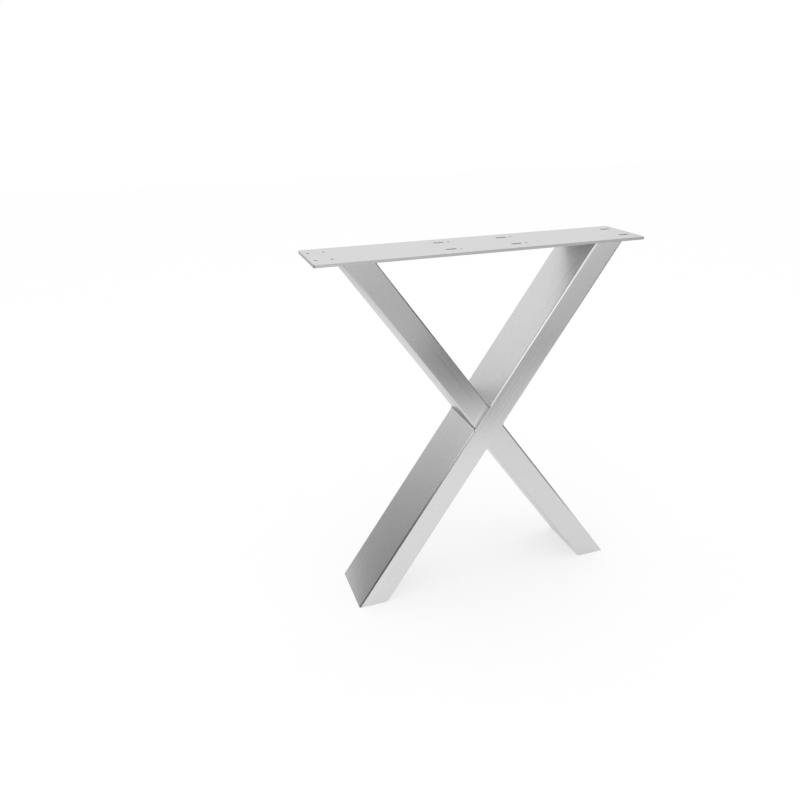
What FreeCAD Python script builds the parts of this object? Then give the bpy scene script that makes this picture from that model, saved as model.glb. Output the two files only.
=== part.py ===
import FreeCAD, Part
import math
import os

import Sketcher
from FreeCAD import Placement, Rotation, Vector

# X shaped table leg: a welded frame of brushed stainless rectangular hollow section.
# One long tube runs from the lower left foot to the upper right end of the mounting plate.
# Two short tubes, sawn along the sides of the long one, complete the cross, and a drilled
# and slotted plate lies on top.
# Frame: origin on the floor under the middle of the plate, +X along the plate towards its
# slotted end, -Y towards the front, where the plate's edge and the tubes are ground flush.
# All sizes are in millimetres.

SIZES = {
    "frame_height": (720, "floor to the top of the plate"),
    "tube_width": (50, "narrow side of the tube, seen from the front"),
    "tube_depth": (130, "wide side of the tube, front to back"),
    "tube_wall": (2, "wall of the tube"),
    "tube_corner_radius": (4, "outer corner of the tube"),
    "tube_inner_radius": (2, "inner corner of the tube"),
    "saw_allowance": (60, "spare length of the uncut tube beyond each end of its centreline"),
    "plate_length": (675, "along X"),
    "leg_inset": (82, "end of the plate to a leg's centreline, under the plate and at the floor"),
    "plate_width": (140, "front to back"),
    "plate_thickness": (6, "mounting plate"),
    "plate_corner_radius": (2, "corner of the plate, seen from above"),
    "plate_edge_break": (0.5, "rounding of the plate's upper edge"),
    "hole_row_spacing": (70, "between the front and the back row of holes"),
    "end_group_inset": (26, "end of the plate to the middle of the outer holes and slots"),
    "end_hole_pitch": (30, "between the two outer screw holes of a row"),
    "end_hole_diameter": (6, "outer screw holes"),
    "slot_spacing": (136, "between the two inner slots of a row"),
    "slot_length": (22, "end to end"),
    "slot_width": (9, "slots"),
    "small_hole_offset": (21, "middle of a slot to the small screw hole beside it"),
    "small_hole_diameter": (5, "small screw holes"),
    "foot_plate_thickness": (3, "plate that closes the foot of a leg"),
    "foot_plate_clearance": (0.1, "between that plate and the inside of the tube"),
    "weld_size": (3, "leg length of the weld seams"),
    "weld_overrun": (1, "how far a plate weld's blank runs on inside the tube that trims it"),
}

# Expressions that several pieces share. A leg is laid out on its own axis: the origin is
# where the two centrelines cross, Z runs up the leg and X across its narrow side.
UNDERSIDE = "(Sizes.frame_height - Sizes.plate_thickness)"
CROSSING_HEIGHT = f"({UNDERSIDE} / 2)"
LEG_SPREAD = "(Sizes.plate_length - 2 * Sizes.leg_inset)"
LEAN = f"atan({LEG_SPREAD} / {UNDERSIDE})"
CROSSING_ANGLE = f"(2 * {LEAN})"
BAR_LENGTH = f"({UNDERSIDE} / cos({LEAN}) + 2 * Sizes.saw_allowance)"
HALF_TUBE = "(Sizes.tube_width / 2)"
FRONT = "(-Sizes.plate_width / 2)"
MID_DEPTH = f"({FRONT} + Sizes.tube_depth / 2)"
END_GROUP = "(Sizes.plate_length / 2 - Sizes.end_group_inset)"
INNER_GROUP = "(Sizes.slot_spacing / 2)"
FRONT_ROW = "(-Sizes.hole_row_spacing / 2)"

# A leg leans to the right or to the left: its lean turns it about one of these axes.
LEANS_RIGHT = Vector(0, 1, 0)
LEANS_LEFT = Vector(0, -1, 0)

# The sketcher's numbers for the origin and for the points of a line, an arc or a circle.
ORIGIN = -1
START, END, CENTRE = 1, 2, 3

os.makedirs("parts", exist_ok=True)
doc = FreeCAD.newDocument("x_table_leg")
sizes = doc.addObject("Spreadsheet::Sheet", "Sizes")
for row, (size_name, (size_value, size_note)) in enumerate(SIZES.items(), start=1):
    sizes.set(f"A{row}", size_note)
    sizes.set(f"B{row}", str(size_value))
    sizes.setAlias(f"B{row}", size_name)
doc.recompute()


def evaluate(expression):
    """Present value of an expression, in millimetres or degrees."""
    value = sizes.evalExpression(expression)
    return float(getattr(value, "Value", value))


def bind(obj, **expressions):
    """Bind properties to expressions. Two underscores in a name stand for a dot."""
    for name, expression in expressions.items():
        obj.setExpression(name.replace("__", "."), expression)


def dimension(sketch, kind, *where, value):
    """Driving dimension of a sketch, bound to an expression."""
    index = sketch.addConstraint(Sketcher.Constraint(kind, *where, evaluate(value)))
    sketch.setExpression(f"Constraints[{index}]", value)


def locate(sketch, geometry, point, x, y):
    """Dimension a point from the sketch's origin, along both axes."""
    dimension(sketch, "DistanceX", ORIGIN, START, geometry, point, value=x)
    dimension(sketch, "DistanceY", ORIGIN, START, geometry, point, value=y)


def round_arc(x, y, radius, first, last):
    """Arc about (x, y) from one count of quarter turns to another."""
    circle = Part.Circle(Vector(x, y, 0), Vector(0, 0, 1), radius)
    return Part.ArcOfCircle(circle, first * math.pi / 2, last * math.pi / 2)


def draw_polygon(sketch, corners):
    """Closed outline through corners that are pairs of expressions."""
    points = [Vector(evaluate(x), evaluate(y), 0) for x, y in corners]
    lines = [
        sketch.addGeometry(Part.LineSegment(point, points[(index + 1) % len(points)]))
        for index, point in enumerate(points)
    ]
    for index, (x, y) in enumerate(corners):
        following = lines[(index + 1) % len(lines)]
        sketch.addConstraint(Sketcher.Constraint("Coincident", lines[index], END, following, START))
        locate(sketch, lines[index], START, x, y)


def draw_rounded_rectangle(sketch, width, depth, radius):
    """Rectangle with four round corners, about the sketch's origin."""
    right, back, corner = evaluate(width) / 2, evaluate(depth) / 2, evaluate(radius)
    signs = ((1, 1), (-1, 1), (-1, -1), (1, -1))
    arcs = [
        round_arc(x * (right - corner), y * (back - corner), corner, turn, turn + 1)
        for turn, (x, y) in enumerate(signs)
    ]
    edges = []
    for index, arc in enumerate(arcs):
        following = arcs[(index + 1) % len(arcs)]
        edges.append(sketch.addGeometry(arc))
        edges.append(sketch.addGeometry(Part.LineSegment(arc.EndPoint, following.StartPoint)))
    for index, edge in enumerate(edges):
        following = edges[(index + 1) % len(edges)]
        sketch.addConstraint(Sketcher.Constraint("Tangent", edge, END, following, START))
    first_arc, back_side, *_, right_side = edges
    left_side, front_side = edges[3], edges[5]
    for other_arc in edges[2::2]:
        sketch.addConstraint(Sketcher.Constraint("Equal", first_arc, other_arc))
    for side in (back_side, front_side):
        sketch.addConstraint(Sketcher.Constraint("Horizontal", side))
    for side in (left_side, right_side):
        sketch.addConstraint(Sketcher.Constraint("Vertical", side))
    sketch.addConstraint(
        Sketcher.Constraint("Symmetric", back_side, START, front_side, START, ORIGIN, START)
    )
    dimension(sketch, "Radius", first_arc, value=radius)
    dimension(sketch, "DistanceX", left_side, START, right_side, START, value=width)
    dimension(sketch, "DistanceY", front_side, START, back_side, START, value=depth)


def draw_back_rounded_outline(sketch, left, right, front, back, radius):
    """Rectangle with square front corners and round back corners."""
    x0, x1, y0, y1, corner = (evaluate(value) for value in (left, right, front, back, radius))
    back_right = round_arc(x1 - corner, y1 - corner, corner, 0, 1)
    back_left = round_arc(x0 + corner, y1 - corner, corner, 1, 2)
    front_left_corner, front_right_corner = Vector(x0, y0, 0), Vector(x1, y0, 0)
    outline = (
        Part.LineSegment(front_left_corner, front_right_corner),
        Part.LineSegment(front_right_corner, back_right.StartPoint),
        back_right,
        Part.LineSegment(back_right.EndPoint, back_left.StartPoint),
        back_left,
        Part.LineSegment(back_left.EndPoint, front_left_corner),
    )
    front_side, right_side, right_arc, back_side, left_arc, left_side = (
        sketch.addGeometry(edge) for edge in outline
    )
    round_run = (right_side, right_arc, back_side, left_arc, left_side)
    for edge, following in zip(round_run, round_run[1:]):
        sketch.addConstraint(Sketcher.Constraint("Tangent", edge, END, following, START))
    sketch.addConstraint(Sketcher.Constraint("Coincident", front_side, END, right_side, START))
    sketch.addConstraint(Sketcher.Constraint("Coincident", left_side, END, front_side, START))
    sketch.addConstraint(Sketcher.Constraint("Vertical", right_side))
    sketch.addConstraint(Sketcher.Constraint("Horizontal", back_side))
    sketch.addConstraint(Sketcher.Constraint("Equal", right_arc, left_arc))
    locate(sketch, front_side, START, left, front)
    locate(sketch, front_side, END, right, front)
    dimension(sketch, "Radius", right_arc, value=radius)
    dimension(sketch, "DistanceY", ORIGIN, START, back_side, START, value=back)


def draw_slot(sketch, middle_x, middle_y):
    """Slot along X: two half circles joined by two lines."""
    half_run = "(Sizes.slot_length - Sizes.slot_width) / 2"
    end_radius = "Sizes.slot_width / 2"
    x, y, reach, radius = (evaluate(value) for value in (middle_x, middle_y, half_run, end_radius))
    right = round_arc(x + reach, y, radius, -1, 1)
    left = round_arc(x - reach, y, radius, 1, 3)
    outline = (
        right,
        Part.LineSegment(right.EndPoint, left.StartPoint),
        left,
        Part.LineSegment(left.EndPoint, right.StartPoint),
    )
    edges = [sketch.addGeometry(edge) for edge in outline]
    for index, edge in enumerate(edges):
        following = edges[(index + 1) % len(edges)]
        sketch.addConstraint(Sketcher.Constraint("Tangent", edge, END, following, START))
    right_end, back_side, left_end, _ = edges
    sketch.addConstraint(Sketcher.Constraint("Horizontal", back_side))
    locate(sketch, right_end, CENTRE, f"{middle_x} + {half_run}", middle_y)
    dimension(sketch, "DistanceX", ORIGIN, START, left_end, CENTRE, value=f"{middle_x} - {half_run}")
    dimension(sketch, "Radius", right_end, value=end_radius)


def draw_hole(sketch, x, y, diameter):
    """Round hole."""
    centre = Vector(evaluate(x), evaluate(y), 0)
    circle = sketch.addGeometry(Part.Circle(centre, Vector(0, 0, 1), evaluate(diameter) / 2))
    locate(sketch, circle, CENTRE, x, y)
    dimension(sketch, "Diameter", circle, value=diameter)


def origin_plane(body, role):
    """One of a body's own origin planes, found by its role."""
    return next(item for item in body.Origin.OriginFeatures if item.Role == role)


def body_sketch(body, name, role):
    """Empty sketch on one of a body's own origin planes."""
    sketch = body.newObject("Sketcher::SketchObject", name)
    sketch.AttachmentSupport = (origin_plane(body, role), [""])
    sketch.MapMode = "FlatFace"
    return sketch


def lay_on_leg(obj, leaning):
    """Set an object on a leg's own axes: origin at the crossing, Z up the leg."""
    obj.Placement = Placement(Vector(), Rotation(leaning, evaluate(LEAN)))
    bind(
        obj,
        Placement__Base__y=MID_DEPTH,
        Placement__Base__z=CROSSING_HEIGHT,
        Placement__Rotation__Angle=LEAN,
    )


def bar_along_leg(name, leaning, draw):
    """Straight bar along a leg, longer than the leg, with the section that draw makes."""
    section = doc.addObject("Sketcher::SketchObject", f"{name}_section")
    draw(section)
    lay_on_leg(section, leaning)
    bar = doc.addObject("Part::Extrusion", name)
    bar.Base = section
    bar.DirMode = "Normal"
    bar.Solid = True
    bar.Symmetric = True
    bind(bar, LengthFwd=BAR_LENGTH)
    return bar


def combine(kind, name, base, tool):
    """Cut or common of two objects."""
    result = doc.addObject(f"Part::{kind}", name)
    result.Label = name
    result.Base = base
    result.Tool = tool
    result.Refine = True
    return result


def level_slab(name, height):
    """Block that stands on the floor and is wider than the frame: it saws the ends level."""
    slab = doc.addObject("Part::Box", name)
    bind(
        slab,
        Length=f"2 * ({LEG_SPREAD} + Sizes.tube_width)",
        Width="2 * Sizes.tube_depth",
        Height=height,
        Placement__Base__x=f"-({LEG_SPREAD} + Sizes.tube_width)",
        Placement__Base__y=f"{MID_DEPTH} - Sizes.tube_depth",
    )
    return slab


def draw_tube_outside(section):
    """Outer outline of the tube."""
    draw_rounded_rectangle(section, "Sizes.tube_width", "Sizes.tube_depth", "Sizes.tube_corner_radius")


def draw_tube_inside(section):
    """Inner outline of the tube."""
    draw_rounded_rectangle(
        section,
        "Sizes.tube_width - 2 * Sizes.tube_wall",
        "Sizes.tube_depth - 2 * Sizes.tube_wall",
        "Sizes.tube_inner_radius",
    )


def draw_foot_plate(section):
    """Outline that fits the inside of the tube with a clearance all round."""
    margin = "2 * (Sizes.tube_wall + Sizes.foot_plate_clearance)"
    draw_rounded_rectangle(
        section,
        f"Sizes.tube_width - {margin}",
        f"Sizes.tube_depth - {margin}",
        "Sizes.tube_inner_radius - Sizes.foot_plate_clearance",
    )


def side_block(side):
    """Outline of what a saw takes away along one side face of the long leg."""

    def draw(section):
        face, far = f"{side} * {HALF_TUBE}", f"{-side} * {BAR_LENGTH}"
        near_y, far_y = "-Sizes.tube_depth", "Sizes.tube_depth"
        draw_polygon(section, ((face, near_y), (far, near_y), (far, far_y), (face, far_y)))

    return draw


def make_top_plate():
    """Mounting plate: laser-cut outline, holes and slots in two rows, upper edge broken."""
    body = doc.addObject("PartDesign::Body", "top_plate")
    bind(body, Placement__Base__z=UNDERSIDE)

    outline = body_sketch(body, "plate_outline", "XY_Plane")
    draw_rounded_rectangle(outline, "Sizes.plate_length", "Sizes.plate_width", "Sizes.plate_corner_radius")
    blank = body.newObject("PartDesign::Pad", "plate_blank")
    blank.Profile = outline
    bind(blank, Length="Sizes.plate_thickness")

    front_holes = body_sketch(body, "front_row", "XY_Plane")
    for hole_side in (-1, 1):
        x = f"-{END_GROUP} + {hole_side} * Sizes.end_hole_pitch / 2"
        draw_hole(front_holes, x, FRONT_ROW, "Sizes.end_hole_diameter")
    for group_side in (-1, 1):
        middle = f"{group_side} * {INNER_GROUP}"
        draw_slot(front_holes, middle, FRONT_ROW)
        draw_hole(front_holes, f"{middle} + Sizes.small_hole_offset", FRONT_ROW, "Sizes.small_hole_diameter")
    draw_slot(front_holes, END_GROUP, FRONT_ROW)
    front_row = body.newObject("PartDesign::Pocket", "front_row_cut")
    front_row.Profile = front_holes
    front_row.Type = "ThroughAll"
    front_row.Reversed = True

    back_row = body.newObject("PartDesign::Mirrored", "back_row_cut")
    back_row.Originals = [front_row]
    back_row.MirrorPlane = (origin_plane(body, "XZ_Plane"), [""])
    body.Tip = back_row
    doc.recompute()

    top = evaluate("Sizes.plate_thickness")
    reach = evaluate("Sizes.plate_width / 2 - Sizes.plate_corner_radius")
    side = evaluate("Sizes.plate_length / 2 - Sizes.plate_corner_radius")
    rim = [
        f"Edge{number}"
        for number, edge in enumerate(back_row.Shape.Edges, start=1)
        if edge.BoundBox.ZMin > top - Part.Precision.confusion()
        and (abs(edge.CenterOfMass.x) > side or abs(edge.CenterOfMass.y) > reach)
    ]
    edge_break = body.newObject("PartDesign::Fillet", "upper_edge_break")
    edge_break.Base = (back_row, rim)
    bind(edge_break, Radius="Sizes.plate_edge_break")
    return body


def make_plate_weld(name, side, bar):
    """Seam round a leg's top end, on the three sides where the plate stands out over it.

    The blank is a collar under the plate that narrows by its height. The leg trims it.
    """

    def collar_outline(suffix, depth):
        margin = f"(Sizes.weld_size - {depth})"
        middle = f"{side} * ({LEG_SPREAD} / 2 - {depth} * tan({LEAN}))"
        half = f"({HALF_TUBE} / cos({LEAN}) + {margin})"
        outline = doc.addObject("Sketcher::SketchObject", f"{name}_{suffix}")
        draw_back_rounded_outline(
            outline,
            f"{middle} - {half}",
            f"{middle} + {half}",
            FRONT,
            f"{FRONT} + Sizes.tube_depth + {margin}",
            f"Sizes.tube_corner_radius + {margin}",
        )
        bind(outline, Placement__Base__z=f"{UNDERSIDE} - {depth}")
        return outline

    collar = doc.addObject("Part::Loft", f"{name}_blank")
    collar.Sections = [
        collar_outline("top", "0"),
        collar_outline("bottom", "(Sizes.weld_size + Sizes.weld_overrun)"),
    ]
    collar.Solid = True
    collar.Ruled = True
    return combine("Cut", name, collar, bar)


def make_crossing_weld(name, side, long_leg, short_leg):
    """Seam round the sawn end of a short leg, on one side face of the long leg.

    It fills both inner corners, and the grooves over the long leg's round front and back
    corners, where it is ground flush. Side is -1 on the long leg's left face, 1 on its right.
    """
    body = doc.addObject("PartDesign::Body", f"{name}_blank")
    lay_on_leg(body, LEANS_RIGHT)
    half_seat = f"({HALF_TUBE} / sin({CROSSING_ANGLE}))"
    seat_middle = f"({HALF_TUBE} / tan({CROSSING_ANGLE}))"
    rise = f"Sizes.weld_size * sin({CROSSING_ANGLE})"
    shift = f"Sizes.weld_size * cos({CROSSING_ANGLE})"

    def corner(along, outwards):
        return (f"{side} * ({HALF_TUBE} + {outwards})", f"{-side} * ({along})")

    sharp_end = f"{seat_middle} + {half_seat}"
    blunt_end = f"{seat_middle} - {half_seat}"
    outline = body_sketch(body, f"{name}_outline", "XZ_Plane")
    draw_polygon(
        outline,
        (
            corner(f"{sharp_end} + Sizes.weld_size", "0"),
            corner(f"{sharp_end} + {shift}", rise),
            corner(f"{blunt_end} + {shift}", rise),
            corner(f"{blunt_end} - Sizes.weld_size", "0"),
            corner(blunt_end, "-Sizes.tube_corner_radius"),
            corner(sharp_end, "-Sizes.tube_corner_radius"),
        ),
    )
    pad = body.newObject("PartDesign::Pad", f"{name}_pad")
    pad.Profile = outline
    pad.Midplane = True
    bind(pad, Length="Sizes.tube_depth")
    beside_long = combine("Cut", f"{name}_beside_long_leg", body, long_leg)
    return combine("Cut", name, beside_long, short_leg)


def make_nodes():
    """All pieces of the frame, keyed by name."""
    standing_room = level_slab("standing_room", UNDERSIDE)
    foot_layer = level_slab("foot_layer", "Sizes.foot_plate_thickness")

    long_bar = bar_along_leg("long_bar", LEANS_RIGHT, draw_tube_outside)
    long_bore = bar_along_leg("long_bore", LEANS_RIGHT, draw_tube_inside)
    short_bar = bar_along_leg("short_bar", LEANS_LEFT, draw_tube_outside)
    short_bore = bar_along_leg("short_bore", LEANS_LEFT, draw_tube_inside)

    long_leg = combine("Common", "long_leg_outside", long_bar, standing_room)
    level_short_bar = combine("Common", "level_short_bar", short_bar, standing_room)
    halves = {}
    for half_name, side in (("upper", -1), ("lower", 1)):
        block = bar_along_leg(f"{half_name}_saw_block", LEANS_RIGHT, side_block(side))
        halves[half_name] = combine("Cut", f"{half_name}_outside", level_short_bar, block)

    nodes = [
        make_top_plate(),
        combine("Cut", "long_leg_tube", long_leg, long_bore),
        combine("Cut", "upper_short_tube", halves["upper"], short_bore),
        combine("Cut", "lower_short_tube", halves["lower"], short_bore),
    ]
    for node_name, leaning in (
        ("long_leg_foot_plate", LEANS_RIGHT),
        ("short_leg_foot_plate", LEANS_LEFT),
    ):
        core = bar_along_leg(f"{node_name}_core", leaning, draw_foot_plate)
        nodes.append(combine("Common", node_name, core, foot_layer))
    nodes += [
        make_plate_weld("long_leg_plate_weld", 1, long_bar),
        make_plate_weld("short_leg_plate_weld", -1, short_bar),
        make_crossing_weld("upper_crossing_weld", -1, long_leg, halves["upper"]),
        make_crossing_weld("lower_crossing_weld", 1, long_leg, halves["lower"]),
    ]
    return nodes


def check(nodes):
    """Stop if anything in the document failed, or a piece is not one valid solid."""
    for obj in doc.Objects:
        if {"Invalid", "Error"} & set(obj.State):
            raise RuntimeError(f"{obj.Name} failed: {obj.State}")
    for node in nodes:
        shape = node.Shape
        if shape.isNull() or not shape.isValid():
            raise RuntimeError(f"{node.Label} has no valid shape")
        if len(shape.Solids) != 1:
            raise RuntimeError(f"{node.Label} has {len(shape.Solids)} solids")


pieces = make_nodes()
doc.recompute()
check(pieces)
for piece in pieces:
    piece.Shape.exportStep(f"parts/{piece.Label}.step")
    print(f"{piece.Label}: {piece.Shape.Volume:.0f} mm3")
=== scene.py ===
"""Looks of an X shaped table leg of brushed stainless steel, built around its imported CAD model.

The plate, the three tubes and the two foot plates are the CAD nodes themselves, with new finishes.
The four weld seams are new surfaces with laid ripples. All lengths are metres in the CAD frame: X runs
along the plate, -Y is the front and Z is up. Sizes are written in millimetres and turned once by MM.
"""

import logging
import math
from dataclasses import dataclass, field
from enum import Enum

import bpy
import numpy as np
from mathutils import Matrix, Vector

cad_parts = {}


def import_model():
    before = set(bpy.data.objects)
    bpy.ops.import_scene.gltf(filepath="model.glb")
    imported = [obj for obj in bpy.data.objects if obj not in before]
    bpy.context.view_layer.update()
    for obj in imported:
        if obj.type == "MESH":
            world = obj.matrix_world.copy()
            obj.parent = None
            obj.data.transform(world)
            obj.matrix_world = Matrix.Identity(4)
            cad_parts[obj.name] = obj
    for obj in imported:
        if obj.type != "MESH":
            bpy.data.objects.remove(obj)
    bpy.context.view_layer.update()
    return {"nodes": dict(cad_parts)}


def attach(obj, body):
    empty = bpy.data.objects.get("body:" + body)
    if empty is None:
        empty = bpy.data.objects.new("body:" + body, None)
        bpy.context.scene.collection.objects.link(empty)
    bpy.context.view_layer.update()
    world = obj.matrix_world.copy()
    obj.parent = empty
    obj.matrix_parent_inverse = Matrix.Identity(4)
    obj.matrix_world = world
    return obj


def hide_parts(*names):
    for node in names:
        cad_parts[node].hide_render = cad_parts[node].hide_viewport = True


Material = bpy.types.Material
Piece = bpy.types.Object
Socket = bpy.types.NodeSocket
Tree = bpy.types.NodeTree

log = logging.getLogger("x_leg")

MM = 0.001
IMAGE_SIDE = 800
BODY = "root"
CORNER_POINTS = 13
FILL_POINTS = 9
FILL_STATIONS = 49
CARD_POINTS = (33, 5)
FLOOR_POINTS = 9
SHARP_ANGLE = math.radians(42.0)
WHITE = (1.0, 1.0, 1.0, 1.0)
NOISE_MIDDLE = 0.5
# A quarter turn of the smear lays it across the brush lines.
ACROSS_LINES = 0.25


def linear(hex_colour: str) -> tuple[float, float, float, float]:
    """Turn an sRGB hex colour to linear RGBA.

    Args:
        hex_colour: six hex digits after a #.

    Returns:
        Linear red, green, blue and an alpha of 1.
    """
    channels = np.array([int(hex_colour[i:i + 2], 16) for i in (1, 3, 5)]) / 255.0
    curve = np.where(channels <= 0.04045, channels / 12.92, ((channels + 0.055) / 1.055) ** 2.4)
    return (*curve.tolist(), 1.0)


def add_node(tree: Tree, kind: str, settings: dict | None = None,
             inputs: dict | None = None) -> bpy.types.Node:
    """Add one shader node.

    Args:
        tree: node tree that gets it.
        kind: Blender's node type.
        settings: attributes of the node.
        inputs: values by input name or number; an output socket is linked, anything else is set.

    Returns:
        The new node.
    """
    node = tree.nodes.new(kind)
    for name, value in (settings or {}).items():
        setattr(node, name, value)
    for name, value in (inputs or {}).items():
        socket = node.inputs[name]
        if isinstance(value, Socket):
            tree.links.new(value, socket)
        else:
            socket.default_value = value
    return node


def new_material(name: str) -> tuple[Material, Tree, bpy.types.Node]:
    """Empty node material.

    Args:
        name: name of the finish.

    Returns:
        The material, its tree and its output node.
    """
    material = bpy.data.materials.new(name)
    material.use_nodes = True
    tree = material.node_tree
    tree.nodes.clear()
    return material, tree, add_node(tree, "ShaderNodeOutputMaterial")


def dress(piece: Piece, material: Material) -> None:
    """Give a piece one material and nothing else."""
    piece.data.materials.clear()
    piece.data.materials.append(material)


class Lean(Enum):
    """Which way a leg leans as it rises, as the sign of X."""

    RIGHT = 1
    LEFT = -1


class Brush(Enum):
    """Direction of the brush lines on a piece."""

    ALONG_PLATE = "plate"
    ALONG_LONG_LEG = "long leg"
    ALONG_SHORT_LEG = "short leg"


@dataclass(frozen=True)
class FrameSizes:
    """Sizes that the CAD model also has, in millimetres."""

    height: float = 720.0
    plate_thickness: float = 6.0
    leg_spread: float = 511.0
    tube_width: float = 50.0
    tube_depth: float = 130.0
    tube_radius: float = 4.0
    front: float = -70.0

    @property
    def underside(self) -> float:
        """Height of the plate's underside."""
        return self.height - self.plate_thickness

    @property
    def lean(self) -> float:
        """Angle of each leg from the vertical, in radians."""
        return math.atan2(self.leg_spread, self.underside)

    def seat(self, side: int) -> tuple[float, float]:
        """Where a short tube's two sides meet the long leg's face, as distances up the long leg.

        Args:
            side: -1 on the long leg's left face, 1 on its right.

        Returns:
            The lower and the upper distance from the crossing.
        """
        half, angle = self.tube_width / 2, 2.0 * self.lean
        middle, reach = half / math.tan(angle), half / math.sin(angle)
        return -side * middle - reach, -side * middle + reach

    def up_leg(self, lean: Lean) -> Vector:
        """Unit vector up a leg."""
        return Vector((lean.value * math.sin(self.lean), 0.0, math.cos(self.lean)))


SIZES = FrameSizes()


@dataclass(frozen=True)
class Grain:
    """One layer of brush lines: length and width of a line in millimetres, and what it does.

    Tone and roughness are shares, height is in millimetres. Detail and fray are the noise's own.
    """

    length: float
    width: float
    tone: float
    roughness: float
    height: float
    detail: float = 2.0
    fray: float = 0.6


FINE_LINES = (
    Grain(length=320.0, width=2.2, tone=0.016, roughness=0.030, height=0.0030),
    Grain(length=160.0, width=0.9, tone=0.016, roughness=0.025, height=0.0010),
    Grain(length=70.0, width=0.4, tone=0.016, roughness=0.020, height=0.0004),
)
DRAWN_LINES = (
    Grain(length=600.0, width=3.4, tone=0.010, roughness=0.020, height=0.0800, detail=3.0),
    *FINE_LINES,
)


@dataclass(frozen=True)
class GroundJoint:
    """Upper seam of the crossing, ground flush and brushed over along the long leg, in millimetres.

    Zone is how far the second brushing reaches onto the upper short tube, and zone edge the part of
    it over which it fades. The painted shade is a soft darker band painted over the seam on the front,
    weaker towards its top.
    """

    zone: float = 16.0
    zone_edge: float = 14.0
    line_width: float = 3.4
    line_tone: float = 0.46
    line_rise: float = 0.45
    front_depth: float = 1.0


@dataclass(frozen=True)
class TubeCrown:
    """How far the middle of a drawn tube's faces stands out over their sides, in millimetres."""

    front: float = 0.3
    side: float = 1.7

    def height(self, tree: Tree, laid: Socket) -> Socket:
        """Height of the crown: minus the square of the distance from each face's middle line.

        Args:
            tree: the material's nodes.
            laid: place with X along the tube and Z across it.

        Returns:
            Height in millimetres. On each face the other face's share is the same all over, so
            it adds no slope there.
        """
        parts = add_node(tree, "ShaderNodeSeparateXYZ", None, {0: laid}).outputs
        middle = SIZES.front + SIZES.tube_depth / 2
        total: Socket | float = 0.0
        for place, centre, half, rise in ((parts[2], 0.0, SIZES.tube_width / 2, self.front),
                                          (parts[1], middle, SIZES.tube_depth / 2, self.side)):
            off = add_node(tree, "ShaderNodeMath", {"operation": "SUBTRACT"},
                           {0: place, 1: centre * MM}).outputs[0]
            square = add_node(tree, "ShaderNodeMath", {"operation": "MULTIPLY"},
                              {0: off, 1: off}).outputs[0]
            total = add_node(tree, "ShaderNodeMath", {"operation": "MULTIPLY_ADD"},
                             {0: square, 1: -rise / (half * MM) ** 2, 2: total}).outputs[0]
        return total


@dataclass(frozen=True)
class PlateFaces:
    """What the belt doesn't reach on a plate, in millimetres.

    The laser leaves duller edges with fine upright drag lines, and the underside stays as delivered,
    greyer and rougher. The drag lines are about 0.3 mm apart in life and are drawn coarser.
    Flat, upright and downward are heights of the normal: above flat all is brushed face, below
    upright all is cut edge, and below downward lies the underside.
    """

    flat: float = 0.75
    upright: float = 0.35
    downward: float = -0.5
    edge_tone: float = 0.86
    edge_roughness: float = 0.08
    drag_pitch: float = 0.9
    drag_length: float = 12.0
    drag_tone: float = 0.10
    drag_detail: float = 1.0
    under_tone: float = 0.70
    under_roughness: float = 0.12


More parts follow.
